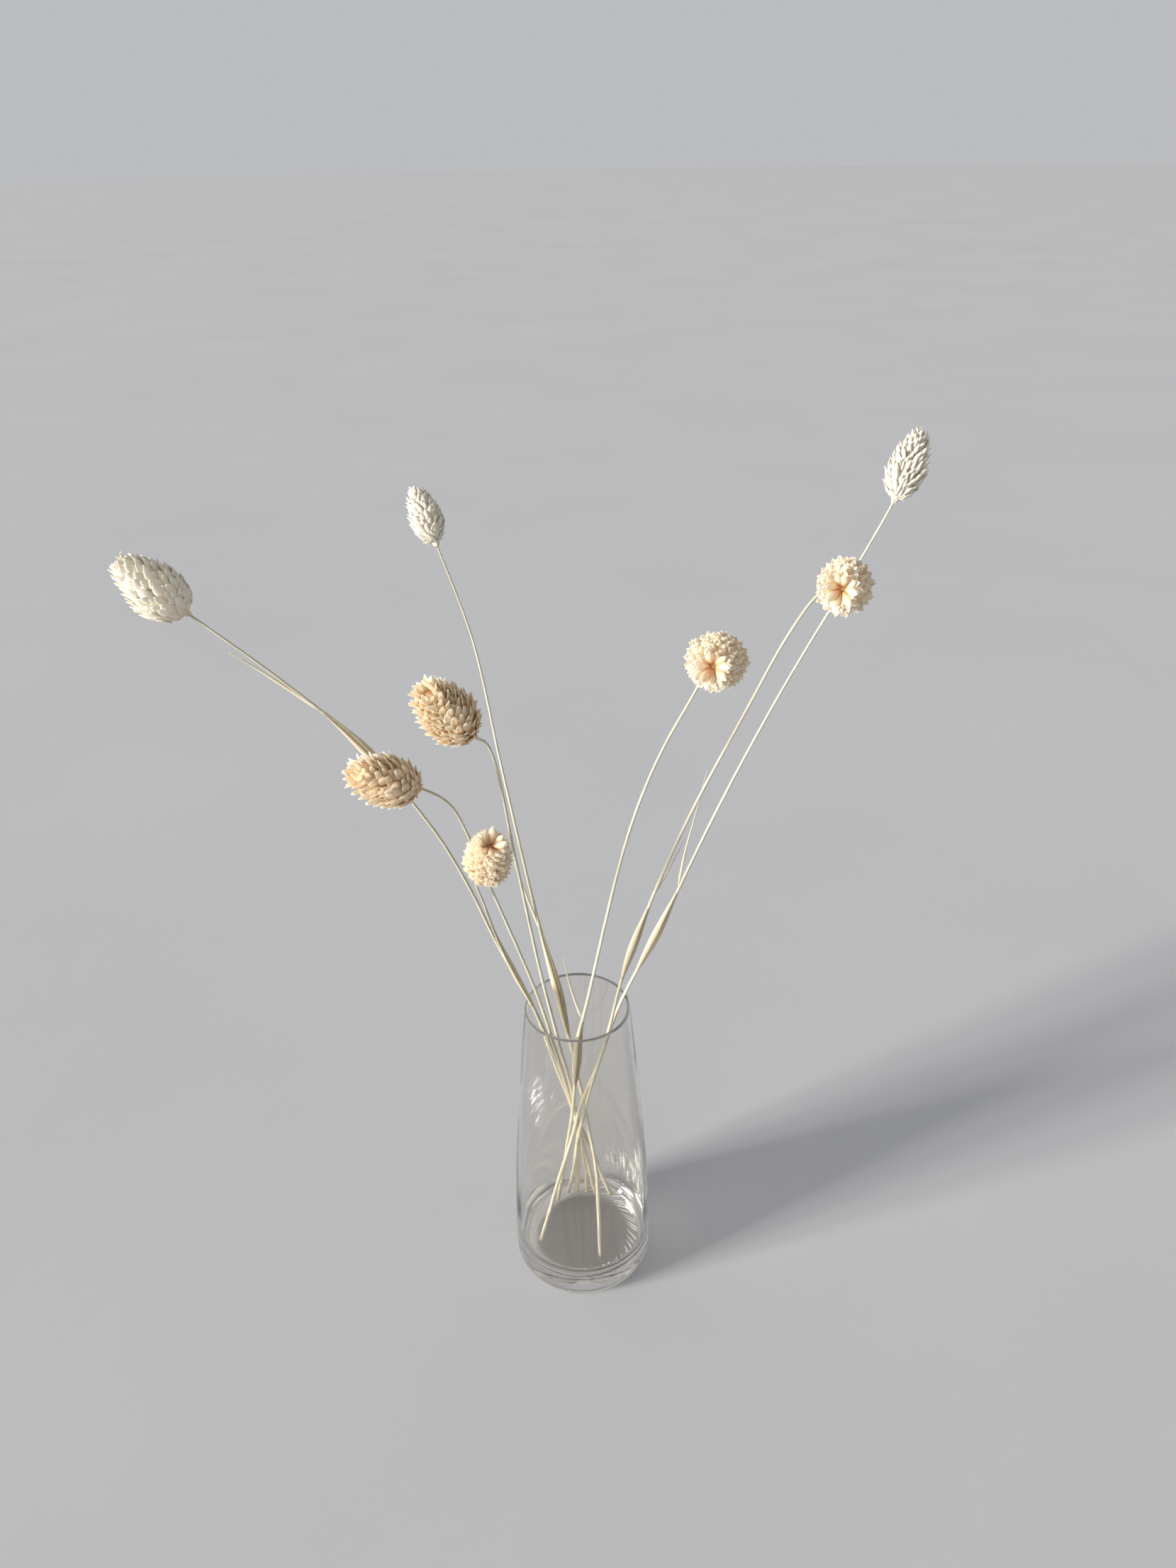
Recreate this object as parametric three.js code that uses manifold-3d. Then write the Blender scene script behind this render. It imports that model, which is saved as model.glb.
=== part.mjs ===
// Dried canary grass in a clear glass vase: eight cut stems, each with one ovoid head of pointed
// scales, lean on the rim of a tapered vase with a thick bottom.
// Millimetres, +Z up. The origin is the centre of the underside of the vase.
import * as THREE from 'three';
import { mergeVertices } from 'three/addons/utils/BufferGeometryUtils.js';
import Module from 'manifold-3d';

const wasm = await Module();
wasm.setup();

// Vase: heights, radii and the wall at the rim
const VASE_HEIGHT = 150;
const FOOT_RADIUS = 25;
const BELLY_RADIUS = 31.9;
const BELLY_HEIGHT = 8;
const MOUTH_RADIUS = 22.66;
const RIM_WALL = 1.36;
// Vase: the inner floor, and where its curve meets the wall
const FLOOR_HEIGHT = 9.5;
const FLOOR_RADIUS = 18.8;
const WELL_HEIGHT = 22;
const WELL_RADIUS = 30;
// Vase: radius and height along the outer wall going up, and along the inner wall going down
const OUTER_WALL = [[31.8, 20], [30.7, 50], [28.4, 85], [25.4, 120]];
const INNER_WALL = [[23.95, 120], [26.95, 85], [29.15, 50]];
// Vase: how finely it is turned
const VASE_SEGMENTS = 36;
const FOOT_STEPS = 4;
const OUTER_STEPS = 8;
const RIM_STEPS = 4;
const INNER_STEPS = 7;
const WELL_STEPS = 5;

// Stems and leaves
const STEM_RADIUS = 0.85;
const STEM_SIDES = 6;
const STEPS_PER_SPAN = 3;
const NECK_GAP = 0.3;
const LEAF_WIDTH = 1.5;
const LEAF_TIP_WIDTH = 0.7;
const LEAF_THICKNESS = 0.7;
const LEAF_SIDES = 4;
const LEAF_STEPS = 6;

// Heads: the core as shares of the head, and the two powers that shape its outline
const CORE_LENGTH_SHARE = 0.86;
const CORE_SWELL = 0.78;
const CORE_FULLNESS = 0.62;
const CORE_SIDES = 9;
const CORE_RINGS = 6;
// Heads: scales. A full-size head has a radius of 9 mm; smaller heads have smaller scales.
const FULL_SIZE_RADIUS = 9;
const SMALLEST_SCALE = 0.35;
const SCALE_LENGTH = 9;
const SCALE_WIDTH = 6;
const SCALE_THICKNESS = 1.3;
const SCALE_ROOT_DEPTH = 1.6;
const SCALE_COVER = 2.4;
const SCALES_PER_SIZE = 1.02;
// Heads: how far a scale's tip stands off the core and runs on along it, the share of the core
// that carries roots, the least radius at the tip, and how much smaller the upper scales are
const SCALE_LIFT = 2.6;
const SCALE_ADVANCE = 0.9;
const SCALE_SPAN = 0.86;
const SCALE_SPREAD = 0.95;
const SCALE_CLOSING = 0.12;
const SCALE_TAPER = 0.3;
const GOLDEN_ANGLE = Math.PI * (3 - Math.sqrt(5));

const STRAW = '#cdbf9d';
const IVORY = '#e9e0c9';
const PEACH = '#e8c7a2';

// Each stalk is one stem with its head. route runs from the cut foot in the vase up to the neck,
// head is the tip of the head with its greatest radius, sheath is the papery swelling of a leaf
// sheath (its height, half its length and how far it stands out), and leaf is the thin blade.
const STALKS = [
  {
    name: 'far_left',
    colour: IVORY,
    route: [[14, 20, 12.3], [4.5, 15, 50], [-4, 11.5, 80.5], [-11, 7, 111], [-19, 2, 147],
      [-32, -4, 186], [-42, -10, 221], [-53, -15, 250], [-76, -21, 290], [-98, -24, 315],
      [-125, -25, 340]],
    head: { tip: [-146, -27, 360.5], radius: 9.4 },
    sheath: { height: 287, half: 21, swell: 1.5 },
    leaf: [[-87, -23, 303], [-98, -23, 312.5], [-108, -23, 320.5], [-115, -23, 325.5]],
  },
  {
    name: 'back',
    colour: IVORY,
    route: [[8, -14.5, 10.2], [6.5, -5.5, 61.5], [4, 0, 74], [2, 4.5, 87.5], [-4.5, 13, 121.5],
      [-9, 15.2, 147], [-17, 25, 179], [-30, 41, 245], [-39.5, 50, 299], [-51.7, 55, 337.3]],
    head: { tip: [-60, 65, 357.5], radius: 6.4 },
    sheath: { height: 150, half: 27, swell: 0.95 },
    leaf: [[-15, 23, 171], [-20, 25, 186], [-25, 27, 203], [-29, 29, 218]],
  },
  {
    name: 'far_right',
    colour: IVORY,
    route: [[-20.5, -5.5, 10.8], [-8, -5, 61.5], [-3.5, -3.5, 77.5], [0, -1.5, 93], [9, 2, 116.5],
      [18.4, 4.3, 147], [35, 10, 182], [60, 16, 241], [82, 20, 288], [109, 24, 340], [118.5, 25, 360]],
    head: { tip: [128.6, 36, 383], radius: 7 },
    sheath: { height: 180, half: 19, swell: 1.15 },
    leaf: [[43, 12, 202], [46, 14, 219], [50, 16, 236], [54, 18, 255]],
  },
  {
    name: 'right',
    colour: PEACH,
    route: [[-7.5, 22.5, 11.9], [-3.5, 10, 45], [-1.2, 3.2, 70.5], [2.5, 0, 91.5], [7, -9, 120.5],
      [12.5, -15, 147], [20, -22, 188], [39, -34, 256], [59, -42, 309], [72, -43, 338], [80, -41, 349],
      [86, -43, 353.5], [87, -49, 355.5]],
    head: { tip: [79.5, -75, 363], radius: 9.2 },
    sheath: { height: 204, half: 19, swell: 0.95 },
    leaf: [[29, -28, 224], [34, -31, 236], [38, -32, 246], [41, -33, 254]],
  },
  {
    name: 'front',
    colour: PEACH,
    route: [[-12.5, 18.5, 11], [-8.5, 9, 46.5], [-5.5, 3.5, 70.5], [-3, -4, 95.5], [-1.5, -10, 118.5],
      [0.5, -17.5, 147], [5, -25, 176], [20, -48, 266], [30, -60, 304], [40.5, -65, 329],
      [44.5, -63, 337], [46, -65, 341], [46, -70, 341.5]],
    head: { tip: [41, -96, 348.5], radius: 9.7 },
    sheath: { height: 137, half: 23, swell: 1.1 },
    leaf: [[2, -21.5, 161], [-1, -23.5, 174], [-3.5, -24.5, 187], [-5, -25, 196]],
  },
  {
    name: 'upper_left',
    colour: PEACH,
    route: [[-3, 22.5, 11.4], [-2, 13, 42], [-1.5, 6.8, 67.5], [-2.5, -0.5, 92.5], [-4.5, -8, 116.5],
      [-8.2, -17.5, 147], [-14, -24, 188], [-20.5, -38, 251], [-24, -58, 301], [-26, -63, 310],
      [-29, -68, 314.5]],
    head: { tip: [-43.5, -79, 337.5], radius: 9.6 },
  },
  {
    name: 'lower_left',
    colour: PEACH,
    route: [[6.5, 21.5, 11.2], [3, 14.5, 40], [0, 9.2, 65], [-3.5, 3, 89], [-6.5, -6, 114.5],
      [-11, -15.8, 147], [-17, -21, 178], [-30.7, -31, 233], [-36.7, -38, 260], [-40, -47.5, 277],
      [-43.5, -54, 285.5], [-48.4, -60, 292]],
    head: { tip: [-70, -72, 305.5], radius: 9.1 },
  },
  {
    name: 'low',
    colour: PEACH,
    route: [[2, 23, 11.4], [1.5, 17, 37.5], [-1, 11.5, 62.5], [-4, 8, 84], [-8.5, 3, 110.5],
      [-17, -3, 147], [-26, -12, 180], [-31, -21, 204], [-34, -30, 226], [-35.3, -37, 239],
      [-34, -41, 245], [-31, -46, 249.5]],
    head: { tip: [-26.4, -61, 271.5], radius: 8.9 },
    sheath: { height: 180, half: 24, swell: 0.6 },
  },
];

// A closed geometry with merged vertices becomes a solid, its faces turned outwards
function toSolid(geometry) {
  const bare = geometry.clone();
  for (const attribute of Object.keys(bare.attributes)) {
    if (attribute !== 'position') bare.deleteAttribute(attribute);
  }
  const merged = mergeVertices(bare, 1e-4);
  const corners = [];
  for (let i = 0; i < merged.index.count; i += 3) {
    const [a, b, c] = [0, 1, 2].map((k) => merged.index.getX(i + k));
    if (a !== b && b !== c && c !== a) corners.push(a, b, c);
  }
  const vertProperties = Float32Array.from(merged.attributes.position.array);
  const make = (list) => new wasm.Manifold(new wasm.Mesh({
    numProp: 3,
    vertProperties,
    triVerts: Uint32Array.from(list),
  }));
  const solid = make(corners);
  return solid.volume() > 0 ? solid : make(corners.reverse());
}

// The largest body of a union, without loose scraps or sealed hollows
function toGeometry(solid) {
  const bodies = solid.decompose();
  const largest = bodies.reduce((best, body) => (body.volume() > best.volume() ? body : best));
  const mesh = largest.getMesh();
  const geometry = new THREE.BufferGeometry();
  geometry.setAttribute('position', new THREE.BufferAttribute(Float32Array.from(mesh.vertProperties), 3));
  geometry.setIndex(Array.from(mesh.triVerts));
  geometry.computeVertexNormals();
  return geometry;
}

// A closed skin over a row of rings that have the same number of points
function skin(rings) {
  const sides = rings[0].length;
  const last = (rings.length - 1) * sides;
  const positions = rings.flat().flatMap((point) => point.toArray());
  const index = [];
  for (let i = 0; i < rings.length - 1; i += 1) {
    for (let j = 0; j < sides; j += 1) {
      const a = i * sides + j;
      const b = i * sides + (j + 1) % sides;
      index.push(a, b, a + sides, b, b + sides, a + sides);
    }
  }
  for (let j = 1; j < sides - 1; j += 1) {
    index.push(0, j + 1, j, last, last + j, last + j + 1);
  }
  const geometry = new THREE.BufferGeometry();
  geometry.setAttribute('position', new THREE.Float32BufferAttribute(positions, 3));
  geometry.setIndex(index);
  return geometry;
}

// Rings square to a path. shape gives the half width and half thickness at each of its points.
function ringsAlong(points, sides, shape) {
  const side = new THREE.Vector3(1, 0, 0);
  return points.map((point, i) => {
    const ahead = points[Math.min(i + 1, points.length - 1)];
    const behind = points[Math.max(i - 1, 0)];
    const tangent = ahead.clone().sub(behind).normalize();
    side.addScaledVector(tangent, -side.dot(tangent)).normalize();
    const up = tangent.clone().cross(side);
    const { width, thickness } = shape(point, i / (points.length - 1));
    return Array.from({ length: sides }, (_, j) => {
      const angle = (2 * Math.PI * j) / sides;
      return point.clone()
        .addScaledVector(side, width * Math.cos(angle))
        .addScaledVector(up, thickness * Math.sin(angle));
    });
  });
}

function smoothPath(route, steps) {
  const points = route.map((p) => new THREE.Vector3(...p));
  return new THREE.CatmullRomCurve3(points, false, 'centripetal').getPoints(steps);
}

// Points inside a quarter or half ellipse, without its two ends
function ellipseArc([centreX, centreY], [radiusX, radiusY], from, to, steps) {
  return Array.from({ length: steps - 1 }, (_, i) => {
    const angle = from + ((to - from) * (i + 1)) / steps;
    return new THREE.Vector2(centreX + radiusX * Math.cos(angle), centreY + radiusY * Math.sin(angle));
  });
}

function wallCurve(points, steps) {
  return new THREE.SplineCurve(points.map((p) => new THREE.Vector2(...p))).getPoints(steps);
}

// The vase is one turned solid: a rounded foot, a wall that narrows to the mouth, and a thick
// bottom whose inner floor curves up into the wall
function makeVase() {
  const quarter = Math.PI / 2;
  const rimHeight = VASE_HEIGHT - RIM_WALL / 2;
  const rimRadius = MOUTH_RADIUS - RIM_WALL / 2;
  const footCurve = [BELLY_RADIUS - FOOT_RADIUS, BELLY_HEIGHT];
  const wellCurve = [WELL_RADIUS - FLOOR_RADIUS, WELL_HEIGHT - FLOOR_HEIGHT];
  const outerWall = [[BELLY_RADIUS, BELLY_HEIGHT], ...OUTER_WALL, [MOUTH_RADIUS, rimHeight]];
  const innerWall = [[MOUTH_RADIUS - RIM_WALL, rimHeight], ...INNER_WALL, [WELL_RADIUS, WELL_HEIGHT]];
  const profile = [
    new THREE.Vector2(0, 0),
    new THREE.Vector2(FOOT_RADIUS, 0),
    ...ellipseArc([FOOT_RADIUS, BELLY_HEIGHT], footCurve, -quarter, 0, FOOT_STEPS),
    ...wallCurve(outerWall, OUTER_STEPS),
    ...ellipseArc([rimRadius, rimHeight], [RIM_WALL / 2, RIM_WALL / 2], 0, Math.PI, RIM_STEPS),
    ...wallCurve(innerWall, INNER_STEPS),
    ...ellipseArc([FLOOR_RADIUS, WELL_HEIGHT], wellCurve, 0, -quarter, WELL_STEPS),
    new THREE.Vector2(FLOOR_RADIUS, FLOOR_HEIGHT),
    new THREE.Vector2(0, FLOOR_HEIGHT),
  ];
  const turned = new THREE.LatheGeometry(profile, VASE_SEGMENTS).rotateX(Math.PI / 2);
  const glass = new THREE.MeshStandardMaterial({
    color: '#d9dddc', roughness: 0.05, metalness: 0, transparent: true, opacity: 0.35,
  });
  const mesh = new THREE.Mesh(toGeometry(toSolid(turned)), glass);
  mesh.name = 'vase';
  return mesh;
}

// A stem ends just short of its head. Where it has a leaf, its sheath swells the stem and the
// blade grows out of the top of the sheath.
function makeStem({ name, route, head, sheath, leaf }) {
  const neck = new THREE.Vector3(...route.at(-1));
  const axis = new THREE.Vector3(...head.tip).sub(neck).normalize();
  const ends = [...route.slice(0, -1), neck.addScaledVector(axis, -NECK_GAP).toArray()];
  const points = smoothPath(ends, (route.length - 1) * STEPS_PER_SPAN);
  const middle = sheath && points.reduce((best, p) => (
    Math.abs(p.z - sheath.height) < Math.abs(best.z - sheath.height) ? p : best));
  const radiusAt = (point) => {
    if (!sheath) return STEM_RADIUS;
    const away = Math.min(point.distanceTo(middle) / sheath.half, 1);
    return STEM_RADIUS + sheath.swell * Math.cos((away * Math.PI) / 2) ** 2;
  };
  const round = (point) => ({ width: radiusAt(point), thickness: radiusAt(point) });
  let solid = toSolid(skin(ringsAlong(points, STEM_SIDES, round)));
  if (leaf) {
    const flat = (_, along) => ({
      width: THREE.MathUtils.lerp(LEAF_WIDTH, LEAF_TIP_WIDTH, along) / 2,
      thickness: LEAF_THICKNESS / 2,
    });
    solid = solid.add(toSolid(skin(ringsAlong(smoothPath(leaf, LEAF_STEPS), LEAF_SIDES, flat))));
  }
  const material = new THREE.MeshStandardMaterial({ color: STRAW, roughness: 0.7, metalness: 0 });
  const mesh = new THREE.Mesh(toGeometry(solid), material);
  mesh.name = `stem_${name}`;
  return mesh;
}

// Radius of the core at a share of its length: full at the base, narrower at the tip
function coreProfile(share, radius) {
  return share < 1 ? radius * Math.sin(Math.PI * share ** CORE_SWELL) ** CORE_FULLNESS : 0;
}

// One pointed scale as a stretched solid of six corners: a root sunk in the core, two side corners,
// the keel between them, the belly under it and the tip
function makeScale(root, along, outwards, length, width) {
  const across = along.clone().cross(outwards).normalize();
  const corner = (forward, sideways, out) => root.clone()
    .addScaledVector(along, forward * length)
    .addScaledVector(across, sideways * width)
    .addScaledVector(outwards, out * SCALE_THICKNESS);
  const corners = [
    corner(-0.06, 0, -SCALE_ROOT_DEPTH / SCALE_THICKNESS),
    corner(0.46, -0.5, -0.08),
    corner(0.46, 0.5, -0.08),
    corner(0.42, 0, 0.6),
    corner(0.4, 0, -1),
    corner(1, 0, 0),
  ];
  const [base, left, right, keel, belly, tip] = corners.keys();
  const positions = corners.flatMap((point) => point.toArray());
  const geometry = new THREE.BufferGeometry();
  geometry.setAttribute('position', new THREE.Float32BufferAttribute(positions, 3));
  geometry.setIndex([
    base, left, keel, base, keel, right, left, tip, keel, keel, tip, right,
    base, belly, left, base, right, belly, left, belly, tip, belly, right, tip,
  ]);
  return geometry;
}

// A head is an ovoid core covered by scales on a golden-angle spiral, all fused. It is made
// standing on its neck and then turned to its own direction.
function makeHead({ name, route, head, colour }) {
  const neck = new THREE.Vector3(...route.at(-1));
  const axis = new THREE.Vector3(...head.tip).sub(neck);
  const length = axis.length();
  const coreLength = length * CORE_LENGTH_SHARE;
  const coreRadius = head.radius - SCALE_COVER;
  const rings = Array.from({ length: CORE_RINGS }, (_, i) => (i + 0.5) / (CORE_RINGS + 0.5));
  const outline = [
    new THREE.Vector2(0, 0),
    ...rings.map((share) => new THREE.Vector2(coreProfile(share, coreRadius), share * coreLength)),
    new THREE.Vector2(0, coreLength),
  ];
  const onCore = (share, angle, out) => {
    const radius = Math.max(coreProfile(share, coreRadius), SCALE_CLOSING * coreRadius) + out;
    return new THREE.Vector3(radius * Math.cos(angle), radius * Math.sin(angle), share * coreLength);
  };
  const solids = [toSolid(new THREE.LatheGeometry(outline, CORE_SIDES).rotateX(Math.PI / 2))];
  const fullness = Math.min(1, head.radius / FULL_SIZE_RADIUS);
  const size = SMALLEST_SCALE + (1 - SMALLEST_SCALE) * fullness;
  const count = Math.round(SCALES_PER_SIZE * (head.radius + length));
  for (let i = 0; i < count; i += 1) {
    const share = SCALE_SPAN * ((i + 0.5) / count) ** SCALE_SPREAD;
    const angle = i * GOLDEN_ANGLE;
    const taper = size * (1 - SCALE_TAPER * share);
    const root = onCore(share, angle, 0);
    const runOn = (SCALE_LENGTH * taper * SCALE_ADVANCE) / coreLength;
    const along = onCore(share + runOn, angle, SCALE_LIFT).sub(root).normalize();
    const outwards = new THREE.Vector3(Math.cos(angle), Math.sin(angle), 0);
    outwards.addScaledVector(along, -outwards.dot(along)).normalize();
    solids.push(toSolid(makeScale(root, along, outwards, SCALE_LENGTH * taper, SCALE_WIDTH * taper)));
  }
  const material = new THREE.MeshStandardMaterial({ color: colour, roughness: 0.85, metalness: 0 });
  const mesh = new THREE.Mesh(toGeometry(wasm.Manifold.union(solids)), material);
  mesh.name = `head_${name}`;
  mesh.position.copy(neck);
  mesh.quaternion.setFromUnitVectors(new THREE.Vector3(0, 0, 1), axis.normalize());
  return mesh;
}

const vaseOfGrass = new THREE.Group();
vaseOfGrass.name = 'dried_canary_grass_in_vase';
vaseOfGrass.add(makeVase());
for (const stalk of STALKS) {
  const group = new THREE.Group();
  group.name = stalk.name;
  group.add(makeStem(stalk), makeHead(stalk));
  vaseOfGrass.add(group);
}

export default vaseOfGrass;
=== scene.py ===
"""Dried canary grass in a clear glass vase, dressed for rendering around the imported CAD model.

Everything is in metres in the frame of the CAD model: the origin is the centre of the underside of the
vase, +Z is up, +X is to the right in the photo and +Y is away from the viewer. The tables of places are
in millimetres, as in the CAD source, and are multiplied by MM where they are used.
"""

import math
import random

import bpy
import numpy as np
from mathutils import Matrix, Vector


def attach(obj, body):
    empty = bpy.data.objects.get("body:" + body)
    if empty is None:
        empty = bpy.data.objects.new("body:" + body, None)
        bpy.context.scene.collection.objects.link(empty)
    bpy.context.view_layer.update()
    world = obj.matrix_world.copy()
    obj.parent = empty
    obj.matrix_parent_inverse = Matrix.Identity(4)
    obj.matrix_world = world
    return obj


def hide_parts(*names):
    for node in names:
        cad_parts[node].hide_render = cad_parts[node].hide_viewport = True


MM = 0.001
RANDOM_SEED = 7

# Camera: fitted to the outline of the vase in the photo
CAMERA_PLACE = Vector((0.0062, -0.3963, 0.4816))
CAMERA_PITCH = math.radians(29.34)
CAMERA_ROLL = math.radians(-1.02)
CAMERA_SENSOR = 36.0
CAMERA_LENS = 27.195
CAMERA_NEAREST = 0.01

# Light: a window in three tall panes, far away so that it lights the whole floor alike
WINDOW_AZIMUTH = math.radians(203)
WINDOW_ELEVATION = math.radians(10.5)
WINDOW_DISTANCE = 600.0
WINDOW_WIDTH = 160.0
WINDOW_HEIGHT = 210.0
WINDOW_PANES = 3
WINDOW_BAR = 12.0
WINDOW_IRRADIANCE = 7.1
WINDOW_COLOUR = (1.0, 0.96, 0.90)
LIGHT_BOUNCES = 14
LIGHT_CLAMP = 60

# Sky: pale at the horizon and towards the window, darker away from it, greyer overhead, and with a soft
# glow at the left of the viewer. Each pair says between which values one colour turns into the next:
# of the cosine of the angle to the window or the glow, or of the sine of the height above the horizon.
SKY_PALE = (0.50, 0.505, 0.52)
SKY_DARK = (0.23, 0.232, 0.238)
SKY_TOP = (0.42, 0.42, 0.43)
SKY_GLOW = (0.88, 0.86, 0.82)
GLOW_AZIMUTH = math.radians(245)
GLOW_ELEVATION = math.radians(22)
WINDOW_SIDE = (-0.6, 0.9)
GLOW_EDGE = (0.55, 0.98)
HORIZON_BAND = (0.08, 0.3)
OVERHEAD_BAND = (0.4, 0.85)

# Floor: a pale disc just under the vase, with faint clouds of a second colour
FLOOR_RADIUS = 14.0
FLOOR_SIDES = 96
FLOOR_DROP = 0.0002
FLOOR_COLOUR = (0.578, 0.591, 0.618)
FLOOR_BLOOM = (0.558, 0.571, 0.598)
FLOOR_CLOUD = 3.0
FLOOR_CLOUD_EDGE = (0.3, 0.7)
FLOOR_ROUGHNESS = 0.9
FLOOR_SHINE = 0.2

# Vase, as in the CAD source. A point of a wall is its radius and its height.
VASE_HEIGHT = 150
FOOT_RADIUS = 25
BELLY_RADIUS = 31.9
BELLY_HEIGHT = 8
MOUTH_RADIUS = 22.66
RIM_WALL = 1.36
VASE_FLOOR_HEIGHT = 9.5
VASE_FLOOR_RADIUS = 18.8
WELL_HEIGHT = 22
WELL_RADIUS = 30
OUTER_WALL = [(31.8, 20), (30.7, 50), (28.4, 85), (25.4, 120)]
INNER_WALL = [(23.95, 120), (26.95, 85), (29.15, 50)]

# How finely the vase is turned: the sides of a ring and the steps of each stretch of its profile. Each
# wall has one more point the gap before its end, and faces above the rim less the margin are rim glass.
VASE_SEGMENTS = 128
FOOT_STEPS = 12
OUTER_STEPS = 40
RIM_STEPS = 10
INNER_STEPS = 32
WELL_STEPS = 16
BEND_GAP = 0.3
RIM_MARGIN = 0.01

# Glass: its tint and how it darkens with depth, the bright rim, and the size of its upright ripple
GLASS_TINT = (0.95, 0.935, 0.91)
GLASS_IOR = 1.5
GLASS_DEPTH_COLOUR = (0.75, 0.735, 0.70)
GLASS_DEPTH_DENSITY = 4
RIM_GLOW = (0.97, 0.97, 0.95)
RIM_GLOW_SHARE = 0.85
RIPPLE_DEPTH = 0.00004
RIPPLE_SIZE = np.array((7, 7, 45))

# Painted highlights, white streaks laid on the glass where it glints: each patch is its height, its turn
# round the axis in degrees, its half sizes and its strength. It is made of upright streaks, and the streak
# size is the width and the height of one. Their pattern starts and ends at the seam, where there is no
# patch. A ring of painted highlights lies where the inner wall bends into the floor of the vase: its
# height, half height and strength.
PAINTED_HIGHLIGHTS = ((113, 225, 14, 10, 0.5), (88, 296, 12, 5, 0.35), (46, 6, 20, 26, 1.9), (32, 36, 11, 36, 1.7))
HIGHLIGHT_RING = (11.5, 1.8, 1.6)
HIGHLIGHT_STREAK_SIZE = (1.5, 10)
HIGHLIGHT_SEAM = 270
HIGHLIGHT_EDGE = (0.46, 0.66)
HIGHLIGHT_COLOUR = (0.98, 0.98, 0.97)

# Stems: a straw narrows from its foot to its neck, is hollow at the cut foot and swells at its node
STEM_SIDES = 14
STEM_STEPS_PER_SPAN = 9
STEM_FOOT_RADIUS = 0.92
STEM_NECK_RADIUS = 0.42
STEM_HOLLOW_SHARE = 0.6
STEM_HOLLOW_DEPTH = 5
STEM_IN_HEAD = 3
NODE_SWELL = 0.16
NODE_LENGTH = 0.9

# Sheaths: how far one reaches below its middle, how closely it fits the stem at its foot and above, where
# and how sharply it swells, how deep it is for its width, how it opens along one side and is fluted, and
# how narrow its browner edges are
SHEATH_ROWS = 44
SHEATH_COLUMNS = 17
SHEATH_WALL = 0.14
SHEATH_BELOW = 1.1
SHEATH_GRIP = 0.06
SHEATH_ROOM = 0.1
SHEATH_WIDENING = 12
SWELL_PLACE = 0.85
SWELL_SHARPNESS = 1.5
SHEATH_DEPTH = 0.55
OPENING_FOOT = 0.12
OPENING_START = 0.45
OPENING_GAIN = 1.1
OPENING_CURVE = 1.3
OPENING_TURN = -1.2
FLUTE_DEPTH = 0.05
FLUTES = 5
FLUTE_TWIST = 3
SHEATH_EDGE = 3

# Blades: half the width at the root and at the thread-like tip, how the strip narrows to both ends, how
# far its halves are folded up, and how far it curls along its length
BLADE_ROWS = 34
BLADE_COLUMNS = 5
BLADE_WALL = 0.12
BLADE_HALF_WIDTH = 0.62
BLADE_THREAD = 0.08
BLADE_TAPER = 0.8
BLADE_ROOT = 0.2
BLADE_ROOT_GAIN = 9
BLADE_FOLD = 0.6
BLADE_CURL = 0.9

# Fibres: how many lie across a part and how long one is, in units of the noise that draws them. The
# shifts keep any two parts from having the same fibres.
STEM_FIBRES = 2.2
STEM_FIBRE_LENGTH = 9
SHEATH_FIBRES = 34
SHEATH_FIBRE_LENGTH = 5
BLADE_FIBRES = 3
BLADE_FIBRE_REPEATS = 5
GLUME_VEINS = 2.5
GLUME_VEIN_REPEATS = 1.2
STRAW_SHIFT = 40
GLUME_SHIFT = 60

# Heads: the powers that shape the outline, near the neck and above it
HEAD_SWELL = 0.78
HEAD_NECK_SHARE = 0.45
HEAD_NECK_FULLNESS = 0.95
HEAD_FULLNESS = 0.62

# The hidden core of a head: its width and length as shares of the head's
CORE_SHARE = 0.72
CORE_LENGTH_SHARE = 0.84
CORE_LEAST_RADIUS = 0.4
CORE_RINGS = 14
CORE_SIDES = 16

# One glume: its rows, its columns from edge to edge with the keel between, where it is widest, the
# powers that shape it, and its thickness, which falls towards the tip
GLUME_ROWS = 8
GLUME_COLUMNS = (-1, -0.62, -0.3, -0.07, 0.07, 0.3, 0.62, 1)
GLUME_WIDEST = 0.58
GLUME_ROOT_POWER = 0.7
GLUME_TIP_POWER = 0.95
GLUME_LEAST_WIDTH = 0.04
GLUME_KEEL_POWER = 1.2
GLUME_SIDE_POWER = 0.8
GLUME_THICKNESS = 0.16
GLUME_THINNING = 0.55

# How crowded and how large the spikelets are at some shares of the way up a head
HEAD_STATIONS = (0, 0.35, 0.8, 1)
STATION_PITCH = (0.65, 0.95, 1.0, 0.85)
STATION_GROWTH = (0.4, 0.95, 1.0, 0.8)

# The spiral of the spikelets: its steps, where its first tips are, and how far each spikelet is off in
# its angle, lean, size, depth and height. The roots stay off the axis by EYE_RADIUS, and in the crown by
# the eye of the head.
GOLDEN_ANGLE = math.pi * (3 - math.sqrt(5))
SPIRAL_STEPS = 400
FIRST_TIPS = 0.05
LEAN_STATIONS = (0, 0.5, 1)
ANGLE_PLAY = 0.1
LEAN_PLAY = 8
GROWTH_PLAY = (0.85, 1.12)
TIP_DEPTH_PLAY = (-0.6, 0)
TIP_HEIGHT_PLAY = (-0.5, 0.2)
LENGTH_PLAY = (0.9, 1)
TIP_ASIDE_PLAY = 0.5
TONE_PLAY = 0.15
LEAST_TIP_RADIUS = 0.5
LEAST_ROOT_HEIGHT = 0.4
EYE_STATIONS = (0.6, 0.9)
EYE_RADIUS = 0.3

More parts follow.
